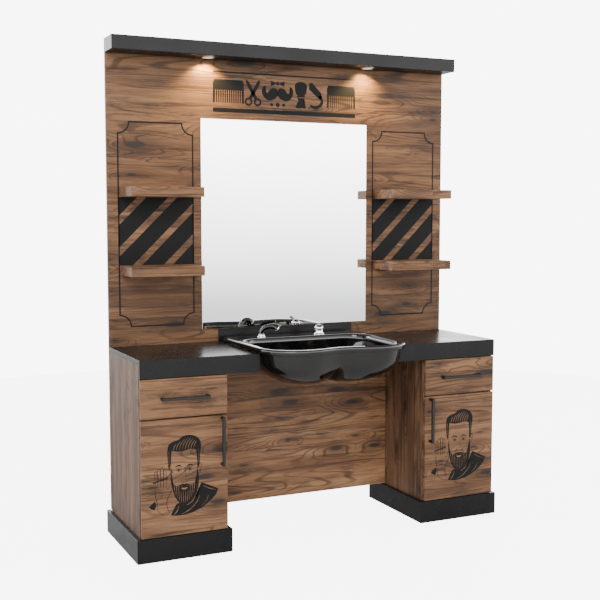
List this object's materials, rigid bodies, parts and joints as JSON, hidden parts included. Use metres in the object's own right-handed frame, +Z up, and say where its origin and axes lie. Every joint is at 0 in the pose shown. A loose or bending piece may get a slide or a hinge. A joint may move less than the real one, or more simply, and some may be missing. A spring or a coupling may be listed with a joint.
{
  "type": "salon styling station",
  "caption": "Barber's styling station: tall wood-look panel with lit canopy, mirror and shelves, over a worktop with cabinets and a black wash basin with taps.",
  "frame": {"origin": "on the floor, in the middle of the station's width and depth", "axes": "+Z up, +X to the user's right, -Y towards the user, rear of the panel at +Y"},
  "size_m": [1.736, 0.653, 2.16],
  "materials": {
    "wood": "rustic oak decor with dark streaks and knots, satin",
    "black_board": "anthracite laminated board, semi-gloss",
    "white_board": "white laminated board, satin",
    "mirror": "polished silvered glass",
    "basin_plastic": "deep black, high gloss",
    "chrome": "polished",
    "steel": "satin",
    "dark_metal": "dark anodised, satin",
    "lamp_lens": "frosted diffuser"
  },
  "bodies": {
    "root": {"back_panel": "wood", "modesty_panel": "wood", "canopy_band": "black_board", "canopy_top": "black_board", "canopy_soffit": "black_board", "splash_panel": "black_board", "worktop_slab": "black_board", "mirror_glass": "mirror", "led_driver": "white_board", "basin_bowl": "basin_plastic", "waste_trap": "basin_plastic", "drain_flange": "chrome", "mixer_body": "chrome", "shower_socket": "chrome", "left_upper_shelf": "wood", "left_lower_shelf": "wood", "left_outer_side": "wood", "left_inner_side": "wood", "left_cabinet_floor": "wood", "left_divider": "wood", "left_fascia": "black_board", "left_plinth": "black_board", "left_downlight": "steel", "left_runner_near": "steel", "left_runner_far": "steel", "left_lower_hinge_arm": "steel", "left_upper_hinge_arm": "steel", "left_downlight_lens": "lamp_lens", "right_upper_shelf": "wood", "right_lower_shelf": "wood", "right_outer_side": "wood", "right_inner_side": "wood", "right_cabinet_floor": "wood", "right_divider": "wood", "right_fascia": "black_board", "right_plinth": "black_board", "right_downlight": "steel", "right_runner_near": "steel", "right_runner_far": "steel", "right_lower_hinge_arm": "steel", "right_upper_hinge_arm": "steel", "right_downlight_lens": "lamp_lens"},
    "left_door": {"left_door": "wood", "left_door_handle": "dark_metal", "left_lower_hinge_cup": "steel", "left_upper_hinge_cup": "steel"},
    "left_drawer": {"left_drawer_front": "wood", "left_drawer_handle": "dark_metal", "left_drawer_box": "white_board"},
    "right_door": {"right_door": "wood", "right_door_handle": "dark_metal", "right_lower_hinge_cup": "steel", "right_upper_hinge_cup": "steel"},
    "right_drawer": {"right_drawer_front": "wood", "right_drawer_handle": "dark_metal", "right_drawer_box": "white_board"},
    "mixer_cap": {"mixer_cap": "chrome"},
    "mixer_lever": {"mixer_lever": "dark_metal"},
    "hand_shower": {"hand_shower": "basin_plastic"},
    "hair_strainer": {"hair_strainer": "steel"}
  },
  "joints": [
    {"name": "left_door_hinge", "type": "hinge", "parent": "root", "child": "left_door", "pos_m": [-0.85, -0.1445, 0.342], "axis": [0, 0, -1], "range_deg": [0, 105]},
    {"name": "left_drawer_slide", "type": "slide", "parent": "root", "child": "left_drawer", "axis": [0, -1, 0], "range_m": [0, 0.3]},
    {"name": "right_door_hinge", "type": "hinge", "parent": "root", "child": "right_door", "pos_m": [0.85, -0.1445, 0.342], "axis": [0, 0, 1], "range_deg": [0, 105]},
    {"name": "right_drawer_slide", "type": "slide", "parent": "root", "child": "right_drawer", "axis": [0, -1, 0], "range_m": [0, 0.3]},
    {"name": "mixer_turn", "type": "hinge", "parent": "root", "child": "mixer_cap", "pos_m": [0.105, 0.1745, 0.8786], "axis": [0, 0, 1], "range_deg": [-45, 45]},
    {"name": "mixer_lift", "type": "hinge", "parent": "mixer_cap", "child": "mixer_lever", "pos_m": [0.105, 0.1885, 0.8939], "axis": [-1, 0, 0], "range_deg": [0, 25]},
    {"name": "hand_shower_pull", "type": "slide", "parent": "root", "child": "hand_shower", "axis": [0, 0, 1], "range_m": [0, 0.25]},
    {"name": "hair_strainer_lift", "type": "slide", "parent": "root", "child": "hair_strainer", "axis": [0, 0, 1], "range_m": [0, 0.05]}
  ]
}
